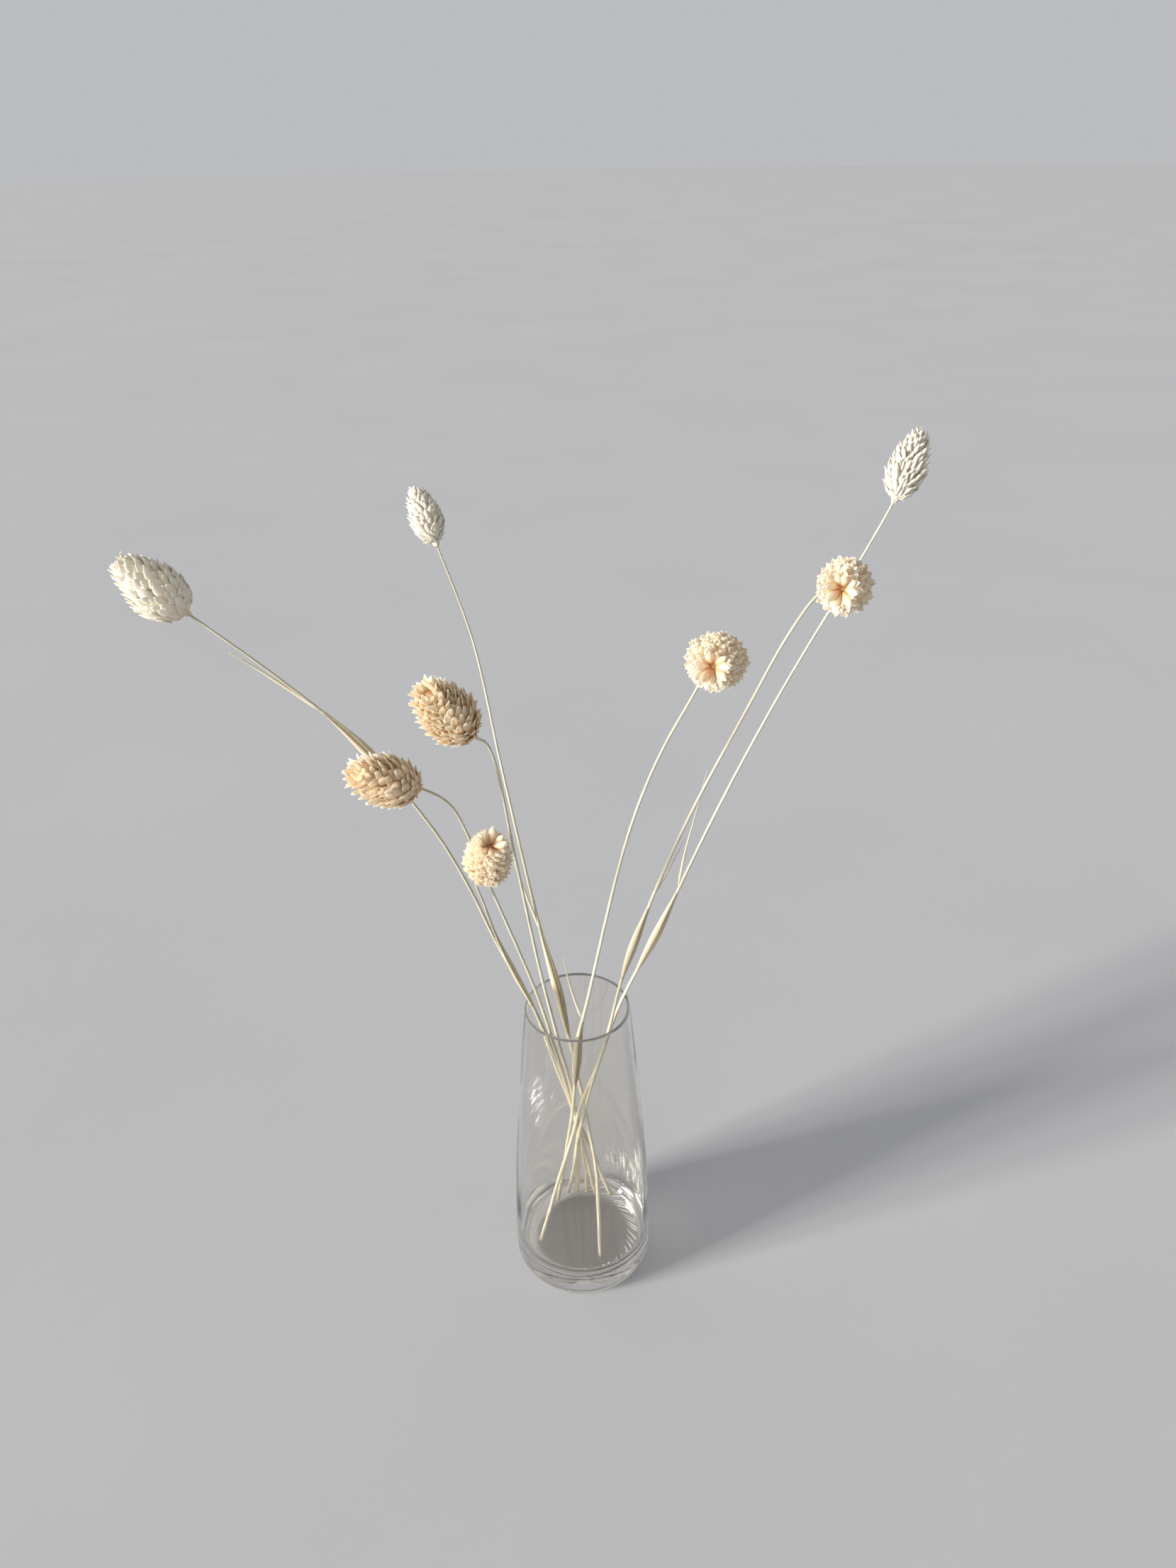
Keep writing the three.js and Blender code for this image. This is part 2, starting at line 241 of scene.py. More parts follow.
# The collar of small bracts round each neck: the length, depth and half width of one, and its place
COLLAR_GLUMES = 7
COLLAR_SIZE = np.array((3.4, 0.35, 0.75))
COLLAR_SIZE_PLAY = (0.8, 1.1)
COLLAR_ANGLE_PLAY = 0.2
COLLAR_ROOT_DEPTH = (0.8, 2.2)
COLLAR_ROOT_RADIUS = 0.35
COLLAR_TIP_HEIGHT = 1.5
COLLAR_TIP_RADIUS = (1.2, 2.0)

# How the spikelets of each head stand. A spikelet is a pair of folded glumes: its length, its half depth
# from the middle to a keel and its half width are given, then the distance between neighbours, how far
# they lean from the axis at the base, middle and tip in degrees, how far the keels' tips part, how much
# of a closed ovoid the head is (a lower share leaves an open crown), how far its last tips stand beyond
# it, the radius left open inside the crown, how far each spikelet is twisted, the oval of its
# cross-section, and how far above the neck it starts.
PEACH_LOOK = dict(
    length=7.4, depth=0.55, width=1.5, pitch=2.9, lean=(56, 50, 60), gape=(0.2, 0.8), blunt=0.87,
    beyond=0, eye=0.8, twist=0.2, oval=(1, 1), start=0,
)
LONG_PEACH_LOOK = dict(
    length=7.6, depth=0.6, width=1.5, pitch=2.9, lean=(56, 19, 16), gape=(0.8, 1.9), blunt=0.9,
    beyond=-0.7, eye=0.6, twist=0.2, oval=(1, 1), start=0,
)
IVORY_LOOK = dict(
    length=7.2, depth=0.7, width=1.9, pitch=2.7, lean=(54, 14, 0), gape=(0.4, 1.3), blunt=0.96,
    beyond=0, eye=0.3, twist=0.25, oval=(1, 1), start=0,
)
HEAD_LOOKS = dict(
    far_left=dict(IVORY_LOOK, oval=(0.97, 0.97), start=0.8),
    back=dict(IVORY_LOOK, length=5.8, depth=0.6, width=1.4, pitch=2.2, beyond=0.3),
    far_right=dict(
        IVORY_LOOK, depth=0.8, width=1.05, pitch=2.3, lean=(48, 20, 8), beyond=0.5, twist=0.6,
    ),
    right=dict(PEACH_LOOK, oval=(0.93, 1)),
    front=dict(PEACH_LOOK, oval=(1, 0.89)),
    upper_left=dict(LONG_PEACH_LOOK, oval=(0.88, 0.88), start=1.6),
    lower_left=dict(LONG_PEACH_LOOK, oval=(0.93, 0.93), start=1.0),
    low=dict(PEACH_LOOK, pitch=2.4, oval=(1, 1.14)),
)

# Colours of straw and paper: dark and pale fibres, streaks, the roughness, how much of the paler foot
# colour, painted light on the stems in the vase, there is in the lower part, and the share of light let
# through in the colour of the glow
STRAW_LOOK = dict(
    dark=(0.50, 0.47, 0.36), pale=(0.70, 0.67, 0.53), streak=(0.36, 0.29, 0.18),
    roughness=0.42, foot=0.9, share=0.08,
)
PAPER_LOOK = dict(
    dark=(0.76, 0.71, 0.55), pale=(0.94, 0.92, 0.80), streak=(0.64, 0.53, 0.35),
    roughness=0.55, foot=0.0, share=0.5,
)
# Painted light: a paler colour on the lower stems, standing in for the window's light through the glass
FOOT_PAINTED_LIGHT = (0.97, 0.91, 0.70)
STRAW_GLOW = (1.0, 0.98, 0.90)
STRAW_GLOW_PALENESS = 0.6
STRAW_RELIEF = (0.00016, 0.9)
STRAW_SHINE = 0.4

# Where the colours of straw and paper turn into each other, and the most that each covers: the fibres,
# the blotches with the size of their noise, the browner nodes and edges, and the fade of the painted light
# on the paler foot
FIBRE_EDGE = (0.35, 0.65)
BLOTCH_SIZE = 0.16
BLOTCH_EDGE = (0.5, 0.72)
BLOTCH_SHARE = 0.55
BROWN_SHARE = 0.75
PAINTED_LIGHT_FADE = (0.25, 0.5)

# Colours of the glumes: their root, body and tip, a blush that some have, and the share of light let
# through in the colour of the glow
SCALE_LOOKS = dict(
    ivory_scales=dict(
        root=(0.90, 0.80, 0.60), body=(0.94, 0.90, 0.77), tip=(0.95, 0.93, 0.86),
        blush=(0.93, 0.86, 0.70), glow=(0.98, 0.90, 0.70), share=0.22,
    ),
    # A darker copy of the ivory colours: painted shade for heads that should look less brightly lit
    painted_shade_ivory_scales=dict(
        root=(0.76, 0.68, 0.52), body=(0.80, 0.76, 0.65), tip=(0.82, 0.79, 0.71),
        blush=(0.77, 0.71, 0.59), glow=(0.95, 0.88, 0.72), share=0.2,
    ),
    peach_scales=dict(
        root=(0.94, 0.66, 0.39), body=(0.97, 0.89, 0.74), tip=(0.97, 0.94, 0.87),
        blush=(0.96, 0.83, 0.63), glow=(1.0, 0.93, 0.80), share=0.55,
    ),
)
SCALE_GLOW_PALENESS = 0.5
SCALE_RELIEF = (0.0001, 0.7)
SCALE_ROUGHNESS = 0.6
SCALE_SHINE = 0.35

# Where the colours of a glume turn into each other: its root and its tip along it, the paler keel across
# it and how far up that begins, the tones that have the blush, and the fine veins
ROOT_EDGE = (0.15, 0.52)
TIP_EDGE = (0.66, 1.0)
KEEL_EDGE = (0.0, 0.45)
KEEL_SHARE = 0.6
PALE_START = (0.2, 0.6)
BLUSH_TONES = (0.1, 0.9)
VEIN_EDGE = (0.55, 0.75)
VEIN_SHARE = 0.25

# Each stalk is one stem with its head, as in the CAD source: the route of the stem from the cut foot up
# to the neck, the tip and the greatest radius of the head, the sheath and the blade of its leaf. A
# sheath is given by the height of its middle, half its length and how far it swells. The slot names the
# colours of the head, and scales names a darker copy of them, painted shade for heads that should look
# less brightly lit.
STALKS = [
    dict(
        name="far_left", slot="ivory_scales",
        route=[(14, 20, 12.3), (4.5, 15, 50), (-4, 11.5, 80.5), (-11, 7, 111), (-19, 2, 147),
               (-32, -4, 186), (-42, -10, 221), (-53, -15, 250), (-76, -21, 290), (-98, -24, 315),
               (-125, -25, 340)],
        tip=(-146, -27, 360.5), radius=9.4,
        sheath=dict(height=287, half=21, swell=1.5),
        blade=[(-87, -23, 303), (-98, -23, 312.5), (-108, -23, 320.5), (-115, -23, 325.5)],
    ),
    dict(
        name="back", slot="ivory_scales", scales="painted_shade_ivory_scales",
        route=[(8, -14.5, 10.2), (6.5, -5.5, 61.5), (4, 0, 74), (2, 4.5, 87.5), (-4.5, 13, 121.5),
               (-9, 15.2, 147), (-17, 25, 179), (-30, 41, 245), (-39.5, 50, 299), (-51.7, 55, 337.3)],
        tip=(-60, 65, 357.5), radius=6.4,
        sheath=dict(height=150, half=27, swell=1.25),
        blade=[(-15, 23, 171), (-20, 25, 186), (-25, 27, 203), (-29, 29, 218)],
    ),
    dict(
        name="far_right", slot="ivory_scales", scales="painted_shade_ivory_scales",
        route=[(-20.5, -5.5, 10.8), (-8, -5, 61.5), (-3.5, -3.5, 77.5), (0, -1.5, 93), (9, 2, 116.5),
               (18.4, 4.3, 147), (35, 10, 182), (60, 16, 241), (82, 20, 288), (109, 24, 340),
               (118.5, 25, 360)],
        tip=(128.6, 36, 383), radius=7,
        sheath=dict(height=180, half=19, swell=1.15),
        blade=[(43, 12, 202), (46, 14, 219), (50, 16, 236), (54, 18, 255)],
    ),
    dict(
        name="right", slot="peach_scales",
        route=[(-7.5, 22.5, 11.9), (-3.5, 10, 45), (-1.2, 3.2, 70.5), (2.5, 0, 91.5), (7, -9, 120.5),
               (12.5, -15, 147), (20, -22, 188), (39, -34, 256), (59, -42, 309), (72, -43, 338),
               (80, -41, 349), (86, -43, 353.5), (87, -49, 355.5)],
        tip=(79.5, -75, 363), radius=9.2,
        sheath=dict(height=204, half=19, swell=0.95),
        blade=[(29, -28, 224), (34, -31, 236), (38, -32, 246), (41, -33, 254)],
    ),
    dict(
        name="front", slot="peach_scales",
        route=[(-12.5, 18.5, 11), (-8.5, 9, 46.5), (-5.5, 3.5, 70.5), (-3, -4, 95.5), (-1.5, -10, 118.5),
               (0.5, -17.5, 147), (5, -25, 176), (20, -48, 266), (30, -60, 304), (40.5, -65, 329),
               (44.5, -63, 337), (46, -65, 341), (46, -70, 341.5)],
        tip=(41, -96, 348.5), radius=9.7,
        sheath=dict(height=137, half=23, swell=1.1),
        blade=[(2, -21.5, 161), (-1, -23.5, 174), (-3.5, -24.5, 187), (-5, -25, 196)],
    ),
    dict(
        name="upper_left", slot="peach_scales",
        route=[(-3, 22.5, 11.4), (-2, 13, 42), (-1.5, 6.8, 67.5), (-2.5, -0.5, 92.5), (-4.5, -8, 116.5),
               (-8.2, -17.5, 147), (-14, -24, 188), (-20.5, -38, 251), (-24, -58, 301), (-26, -63, 310),
               (-29, -68, 314.5)],
        tip=(-43.5, -79, 337.5), radius=9.6,
    ),
    dict(
        name="lower_left", slot="peach_scales",
        route=[(6.5, 21.5, 11.2), (3, 14.5, 40), (0, 9.2, 65), (-3.5, 3, 89), (-6.5, -6, 114.5),
               (-11, -15.8, 147), (-17, -21, 178), (-30.7, -31, 233), (-36.7, -38, 260),
               (-40, -47.5, 277), (-43.5, -54, 285.5), (-48.4, -60, 292)],
        tip=(-70, -72, 305.5), radius=9.1,
    ),
    dict(
        name="low", slot="peach_scales",
        route=[(2, 23, 11.4), (1.5, 17, 37.5), (-1, 11.5, 62.5), (-4, 8, 84), (-8.5, 3, 110.5),
               (-17, -3, 147), (-26, -12, 180), (-31, -21, 204), (-34, -30, 226), (-35.3, -37, 239),
               (-34, -41, 245), (-31, -46, 249.5)],
        tip=(-26.4, -61, 271.5), radius=8.9,
        sheath=dict(height=180, half=24, swell=0.6),
    ),
]


# Curves and meshes

def unit(vector):
    return vector / np.linalg.norm(vector, axis=-1, keepdims=True)


def turn(vector, axis, angle):
    """The vector turned about an axis."""
    return (
        vector * math.cos(angle)
        + np.cross(axis, vector) * math.sin(angle)
        + axis * axis.dot(vector) * (1 - math.cos(angle))
    )


def smooth_path(points, steps):
    """A centripetal Catmull-Rom curve through the points, as the CAD source draws it."""
    points = np.asarray(points, float)
    first = 2 * points[0] - points[1]
    last = 2 * points[-1] - points[-2]
    row = np.vstack([first, points, last])
    spans = len(points) - 1
    made = []
    for i in range(steps + 1):
        place = spans * i / steps
        k = min(int(place), spans - 1)
        t = place - k
        p0, p1, p2, p3 = row[k:k + 4]
        d0, d1, d2 = (max(np.linalg.norm(b - a) ** 0.5, 1e-9) for a, b in ((p0, p1), (p1, p2), (p2, p3)))
        t1 = ((p1 - p0) / d0 - (p2 - p0) / (d0 + d1) + (p2 - p1) / d1) * d1
        t2 = ((p2 - p1) / d1 - (p3 - p1) / (d1 + d2) + (p3 - p2) / d2) * d1
        made.append(
            p1 + t1 * t + (-3 * p1 + 3 * p2 - 2 * t1 - t2) * t ** 2
            + (2 * p1 - 2 * p2 + t1 + t2) * t ** 3
        )
    return np.array(made)


def arc_length(points):
    steps = np.linalg.norm(np.diff(points, axis=0), axis=1)
    return np.concatenate([[0], np.cumsum(steps)])


def resample(points, start, end, count):
    """Points at even distances along a path, from start to end, which are lengths along it."""
    length = arc_length(points)
    at = np.linspace(start, end, count)
    return np.stack([np.interp(at, length, points[:, k]) for k in range(3)], axis=1)


def frames_along(points):
    """Tangent, side and up at each point of a path, turned as little as can be from one to the next."""
    tangents = unit(np.gradient(points, axis=0))
    side = np.array((1.0, 0.0, 0.0))
    sides = []
    for tangent in tangents:
        side = unit(side - tangent * side.dot(tangent))
        sides.append(side)
    sides = np.array(sides)
    return tangents, sides, np.cross(tangents, sides)


def rings_along(path, sides, ups, wide, deep, angles):
    """Rings of points round a path. wide and deep are their radii along its sides and ups."""
    return (
        path[:, None]
        + sides[:, None] * (wide * np.cos(angles))[..., None]
        + ups[:, None] * (deep * np.sin(angles))[..., None]
    )


def triples(first, second, third):
    """A grid of triples from three values, each one number or a grid of its own."""
    return np.stack(np.broadcast_arrays(first, second, third), axis=-1)


def ring_of(numbers):
    """The vertices round the border of a grid, in order."""
    return np.concatenate([numbers[0, :-1], numbers[:-1, -1], numbers[-1, :0:-1], numbers[:0:-1, 0]])


class Piece:
    """The vertices, faces and marks of one object. A vertex has two marks for the materials: place is
    (share along the part, share out to its edge, tone) and grain is where its fibres are looked up. On
    the vase, place is where its streaks are looked up and how strongly the painted highlights show."""

    def __init__(self):
        self.points = []
        self.places = []
        self.grains = []
        self.faces = []
        self.count = 0

    def grid(self, points, places, grains, closed=False, flip=False):
        """Adds a grid of rows by columns and returns the numbers of its vertices."""
        rows, columns = points.shape[:2]
        numbers = np.arange(rows * columns).reshape(rows, columns) + self.count
        self.points.append(points.reshape(-1, 3))
        self.places.append(np.broadcast_to(places, points.shape).reshape(-1, 3))
        self.grains.append(np.broadcast_to(grains, points.shape).reshape(-1, 3))
        self.count += rows * columns
        across = columns if closed else columns - 1
        for i in range(rows - 1):
            for j in range(across):
                k = (j + 1) % columns
                face = (numbers[i, j], numbers[i, k], numbers[i + 1, k], numbers[i + 1, j])
                self.faces.append(face[::-1] if flip else face)
        return numbers

    def rings(self, points, places, grains):
        """Adds a solid made of rings of points, with a cap on the first and on the last ring."""
        numbers = self.grid(points, places, grains, closed=True)
        self.faces.append(numbers[0][::-1])
        self.faces.append(numbers[-1])

    def shell(self, points, thickness, places, grains):
        """Adds a closed thin sheet around a grid of points. thickness may be a grid of its own."""
        down = np.gradient(points, axis=0)
        over = np.gradient(points, axis=1)
        normals = np.cross(over, down)
        normals /= np.maximum(np.linalg.norm(normals, axis=-1, keepdims=True), 1e-12)
        half = np.broadcast_to(np.asarray(thickness, float), points.shape[:2])[..., None] / 2
        top = self.grid(points + normals * half, places, grains)
        bottom = self.grid(points - normals * half, places, grains, flip=True)
        rim_top = ring_of(top)
        rim_bottom = ring_of(bottom)
        for i in range(len(rim_top)):
            k = (i + 1) % len(rim_top)
            self.faces.append((rim_top[k], rim_top[i], rim_bottom[i], rim_bottom[k]))

    def build(self, name, *materials, second=()):
        """Makes the object. Faces whose numbers are in second take the second material."""
        mesh = bpy.data.meshes.new(name)
        faces = [tuple(int(n) for n in face) for face in self.faces]
        mesh.from_pydata(np.concatenate(self.points), [], faces)
        for mark, rows in (("place", self.places), ("grain", self.grains)):
            attribute = mesh.attributes.new(mark, "FLOAT_VECTOR", "POINT")
            attribute.data.foreach_set("vector", np.concatenate(rows).astype(np.float32).ravel())
        for material in materials:
            mesh.materials.append(material)
        for number in second:
            mesh.polygons[number].material_index = 1
        mesh.shade_smooth()
        mesh.validate()
        made = bpy.data.objects.new(name, mesh)
        bpy.context.scene.collection.objects.link(made)
        return made


# Materials

class Tree:
    """A short way to write the nodes of a material, or of the world when its tree is given."""

    def __init__(self, name, tree=None, kind="Material"):
        if tree is None:
            self.material = bpy.data.materials.new(name)
            self.material.use_nodes = True
            tree = self.material.node_tree
        self.tree = tree
        self.tree.nodes.clear()
        self.output = self.node("Output" + kind)

    def node(self, kind, inputs=None, **settings):
        made = self.tree.nodes.new("ShaderNode" + kind)
        for key, value in settings.items():
            setattr(made, key, value)
        for key, value in (inputs or {}).items():
            self.put(made.inputs[key], value)
        return made

    def put(self, socket, value):
        """Links a socket to another one, or sets it to a constant."""
        if isinstance(value, bpy.types.NodeSocket):
            self.tree.links.new(value, socket)
        elif socket.type == "RGBA" and len(value) == 3:
            socket.default_value = (*value, 1.0)
        else:
            socket.default_value = value

    def mark(self, name):
        return self.node("Attribute", attribute_name=name).outputs["Vector"]

    def parts(self, vector):
        return self.node("SeparateXYZ", {"Vector": vector}).outputs

    def ramp(self, value, low, high, to_low=0.0, to_high=1.0):
        """Goes smoothly from to_low to to_high while the value goes from low to high."""
        made = self.node(
            "MapRange",
            {"Value": value, "From Min": low, "From Max": high, "To Min": to_low, "To Max": to_high},
            interpolation_type="SMOOTHSTEP",
        )
        return made.outputs["Result"]

    def noise(self, vector, scale=1.0, detail=2.0, roughness=0.5):
        made = self.node(
            "TexNoise", {"Vector": vector, "Scale": scale, "Detail": detail, "Roughness": roughness}
        )
        return made.outputs["Fac"]

    def mix(self, share, first, second):
        made = self.node("Mix", data_type="RGBA")
        self.put(made.inputs[0], share)
        self.put(made.inputs[6], first)
        self.put(made.inputs[7], second)
        return made.outputs[2]

    def maths(self, kind, first, second):
        made = self.node("Math", operation=kind)
        self.put(made.inputs[0], first)
        self.put(made.inputs[1], second)
        return made.outputs[0]

    def bump(self, height, distance, strength=1.0):
        made = self.node("Bump", {"Height": height, "Distance": distance, "Strength": strength})
        return made.outputs["Normal"]

    def finish(self, glow=None, share=0.0, **inputs):
        """Ends in a Principled shader, with a share of light let through in the colour glow."""
        shader = self.node("BsdfPrincipled")
        for key, value in inputs.items():
            self.put(shader.inputs[key.replace("_", " ")], value)
        self.tree.links.new(shader.outputs["BSDF"], self.output.inputs["Surface"])
        if glow is not None:
            self.cover(share, self.node("BsdfTranslucent", {"Color": glow}))
        return self.material

    def cover(self, share, shader):
        """Lays a share of another shader over the finished one."""
        surface = self.output.inputs["Surface"]
        both = self.node("MixShader")
        self.put(both.inputs[0], share)
        self.tree.links.new(surface.links[0].from_socket, both.inputs[1])
        self.tree.links.new(shader.outputs["BSDF"], both.inputs[2])
        self.tree.links.new(both.outputs["Shader"], surface)


def glass_material(name, glow=None, share=0.0):
    """Clear blown glass, darker where it is thick, with a slight upright ripple. It has painted
    highlights, white streaks where it glints, or, on the rim, a share of light let through in the colour
    glow."""
    made = Tree(name)
    place = made.parts(made.mark("place"))
    ripple = made.noise(made.mark("grain"))
    made.finish(
        glow, share, Base_Color=GLASS_TINT, Roughness=0.0, IOR=GLASS_IOR, Transmission_Weight=1.0,
        Normal=made.bump(ripple, RIPPLE_DEPTH),
    )
    depth = made.node("VolumeAbsorption", {"Color": GLASS_DEPTH_COLOUR, "Density": GLASS_DEPTH_DENSITY})
    made.tree.links.new(depth.outputs["Volume"], made.output.inputs["Volume"])
    if glow is None:
        # Painted highlights: white diffuse streaks laid over the glass where it should glint
        across = made.node("CombineXYZ", {"X": place["Y"], "Z": place["X"]}).outputs["Vector"]
        streaks = made.noise(across, roughness=0.6)
        painted_highlight = made.maths("MULTIPLY", made.ramp(streaks, *HIGHLIGHT_EDGE), place["Z"])
        made.cover(painted_highlight, made.node("BsdfDiffuse", {"Color": HIGHLIGHT_COLOUR}))
    return made.material


def straw_material(name, dark, pale, streak, roughness, foot, share):
    """Dry straw or paper: fine streaks along the fibres, blotches, browner nodes and edges, and a paler
    foot, which is painted light standing in for the window's light through the glass of the vase."""
    made = Tree(name)
    place = made.parts(made.mark("place"))
    grain = made.mark("grain")
    fine = made.noise(grain, detail=3.0, roughness=0.6)
    broad = made.noise(grain, BLOTCH_SIZE)
    colour = made.mix(made.ramp(fine, *FIBRE_EDGE), dark, pale)
    colour = made.mix(made.ramp(broad, *BLOTCH_EDGE, to_high=BLOTCH_SHARE), colour, streak)
    colour = made.mix(made.ramp(place["Y"], 0.0, 1.0, to_high=BROWN_SHARE), colour, streak)
    # Painted light: the lower part is paled towards the foot colour, in place of light through the glass
    colour = made.mix(made.ramp(place["X"], *PAINTED_LIGHT_FADE, to_low=foot, to_high=0.0), colour, FOOT_PAINTED_LIGHT)
    return made.finish(
        Base_Color=colour, Roughness=roughness, Specular_IOR_Level=STRAW_SHINE,
        Normal=made.bump(fine, *STRAW_RELIEF),
        glow=made.mix(STRAW_GLOW_PALENESS, colour, STRAW_GLOW), share=share,
    )


def scale_material(name, root, body, tip, blush, glow, share):
    """Dry papery glumes that let light through: coloured roots, pale keels and tips, and fine veins."""
    made = Tree(name)
    place = made.parts(made.mark("place"))
    veins = made.noise(made.mark("grain"))
    body_colour = made.mix(made.ramp(place["Z"], *BLUSH_TONES), body, blush)
    colour = made.mix(made.ramp(place["X"], *ROOT_EDGE), root, body_colour)
    pale_tip = made.ramp(place["X"], *TIP_EDGE)
    pale_keel = made.ramp(place["Y"], *KEEL_EDGE, to_low=KEEL_SHARE, to_high=0.0)
    paleness = made.maths("MAXIMUM", pale_tip, pale_keel)
    paleness = made.maths("MULTIPLY", paleness, made.ramp(place["X"], *PALE_START))
    colour = made.mix(paleness, colour, tip)
    colour = made.mix(made.ramp(veins, *VEIN_EDGE, to_high=VEIN_SHARE), colour, root)
    return made.finish(
        Base_Color=colour, Roughness=SCALE_ROUGHNESS, Specular_IOR_Level=SCALE_SHINE,
        Normal=made.bump(veins, *SCALE_RELIEF),
        glow=made.mix(SCALE_GLOW_PALENESS, colour, glow), share=share,
    )


def floor_material():
    made = Tree("pale_floor")
    place = made.node("TexCoord").outputs["Object"]
    cloud = made.noise(place, FLOOR_CLOUD, detail=4.0, roughness=0.55)
    colour = made.mix(made.ramp(cloud, *FLOOR_CLOUD_EDGE), FLOOR_COLOUR, FLOOR_BLOOM)
    return made.finish(Base_Color=colour, Roughness=FLOOR_ROUGHNESS, Specular_IOR_Level=FLOOR_SHINE)


# The vase

def ellipse_arc(centre, radii, start, end, steps):
    """The inner points of an arc of an ellipse, without its two ends."""
    angles = np.linspace(start, end, steps + 1)[1:-1]
    return np.stack([centre[0] + radii[0] * np.cos(angles), centre[1] + radii[1] * np.sin(angles)], axis=1)


def held_end(path):
    """The path with one more point close before its end, so that the bend after it stays short."""
    back = path[-2] - path[-1]
    return np.vstack([path[:-1], path[-1] + back * BEND_GAP / np.linalg.norm(back), path[-1]])


def vase_profile():
    """Radii and heights from the foot up the outside, over the rim and down the inside to the floor of
    the vase, and the number of the first point of the inside."""
    quarter = math.pi / 2
    rim_height = VASE_HEIGHT - RIM_WALL / 2
    outer = [(BELLY_RADIUS, BELLY_HEIGHT), *OUTER_WALL, (MOUTH_RADIUS, rim_height)]
    inner = [(MOUTH_RADIUS - RIM_WALL, rim_height), *INNER_WALL, (WELL_RADIUS, WELL_HEIGHT)]
    foot_curve = (BELLY_RADIUS - FOOT_RADIUS, BELLY_HEIGHT)
    well_curve = (WELL_RADIUS - VASE_FLOOR_RADIUS, WELL_HEIGHT - VASE_FLOOR_HEIGHT)
    rim_curve = (RIM_WALL / 2, RIM_WALL / 2)
    outside = [
        [(FOOT_RADIUS, 0)],
        ellipse_arc((FOOT_RADIUS, BELLY_HEIGHT), foot_curve, -quarter, 0, FOOT_STEPS),
        held_end(smooth_path(outer, OUTER_STEPS)),
        ellipse_arc((MOUTH_RADIUS - RIM_WALL / 2, rim_height), rim_curve, 0, math.pi, RIM_STEPS),
    ]
    inside = [
        held_end(smooth_path(inner, INNER_STEPS)[::-1])[::-1],
        ellipse_arc((VASE_FLOOR_RADIUS, WELL_HEIGHT), well_curve, 0, -quarter, WELL_STEPS),
        [(VASE_FLOOR_RADIUS, VASE_FLOOR_HEIGHT)],
    ]
    return np.concatenate(outside + inside), sum(len(stretch) for stretch in outside)


def highlight_strength(height, turned, inside_start):
    """How strongly the painted highlights show at each height and turn round the vase."""
    strength = np.zeros((len(height), len(turned)))
    for middle, towards, half_height, half_turn, most in PAINTED_HIGHLIGHTS:
        off = ((turned - towards + 180) % 360 - 180) / half_turn
        patch = np.clip(1 - off ** 2 - ((height - middle) / half_height) ** 2, 0, 1)
        strength = np.maximum(strength, most * patch)
    middle, half_height, most = HIGHLIGHT_RING
    ring = np.clip(1 - ((height - middle) / half_height) ** 2, 0, 1)
    ring[:inside_start] = 0
    return np.maximum(strength, most * ring)


def make_vase(glass, rim_glass):
    """A turned glass wall with a thick bottom."""
    profile, inside_start = vase_profile()
    radius = profile[:, :1]
    height = profile[:, 1:]
    angles = np.linspace(0, 2 * math.pi, VASE_SEGMENTS, endpoint=False)
    points = triples(radius * np.cos(angles), radius * np.sin(angles), height) * MM
    turned = np.degrees(angles)
    # Where the streaks of the painted highlights are looked up on the vase, and how strongly they show
    round_way = radius * np.radians((turned - HIGHLIGHT_SEAM) % 360)
    places = triples(
        height / HIGHLIGHT_STREAK_SIZE[1], round_way / HIGHLIGHT_STREAK_SIZE[0], highlight_strength(height, turned, inside_start)
    )
    piece = Piece()
    piece.rings(points, places, points / MM / RIPPLE_SIZE)
    rim_height = VASE_HEIGHT - RIM_WALL / 2 - RIM_MARGIN
    rim_rows = np.flatnonzero(np.minimum(height[:-1, 0], height[1:, 0]) > rim_height)
    rim_faces = [row * VASE_SEGMENTS + k for row in rim_rows for k in range(VASE_SEGMENTS)]
    return piece.build("vase_glass", glass, rim_glass, second=rim_faces)


# Stems and leaves

def stem_points(stalk):
    """The middle line of the stem, from the cut foot to just inside the head."""
    route = np.array(stalk["route"], float)
    axis = unit(np.array(stalk["tip"], float) - route[-1])
    end = route[-1] + axis * STEM_IN_HEAD
    return smooth_path(np.vstack([route, end]), len(route) * STEM_STEPS_PER_SPAN) * MM


def sheath_span(stalk, length, points):
    """Lengths along the stem where the sheath of its leaf starts, at a node, and ends."""
    sheath = stalk["sheath"]
    middle = length[np.argmin(abs(points[:, 2] - sheath["height"] * MM))]
    return middle - sheath["half"] * MM * SHEATH_BELOW, middle + sheath["half"] * MM


def stem_radius(share):
    """Radius of a stem at a share of its length, in millimetres."""
    return STEM_FOOT_RADIUS + (STEM_NECK_RADIUS - STEM_FOOT_RADIUS) * share


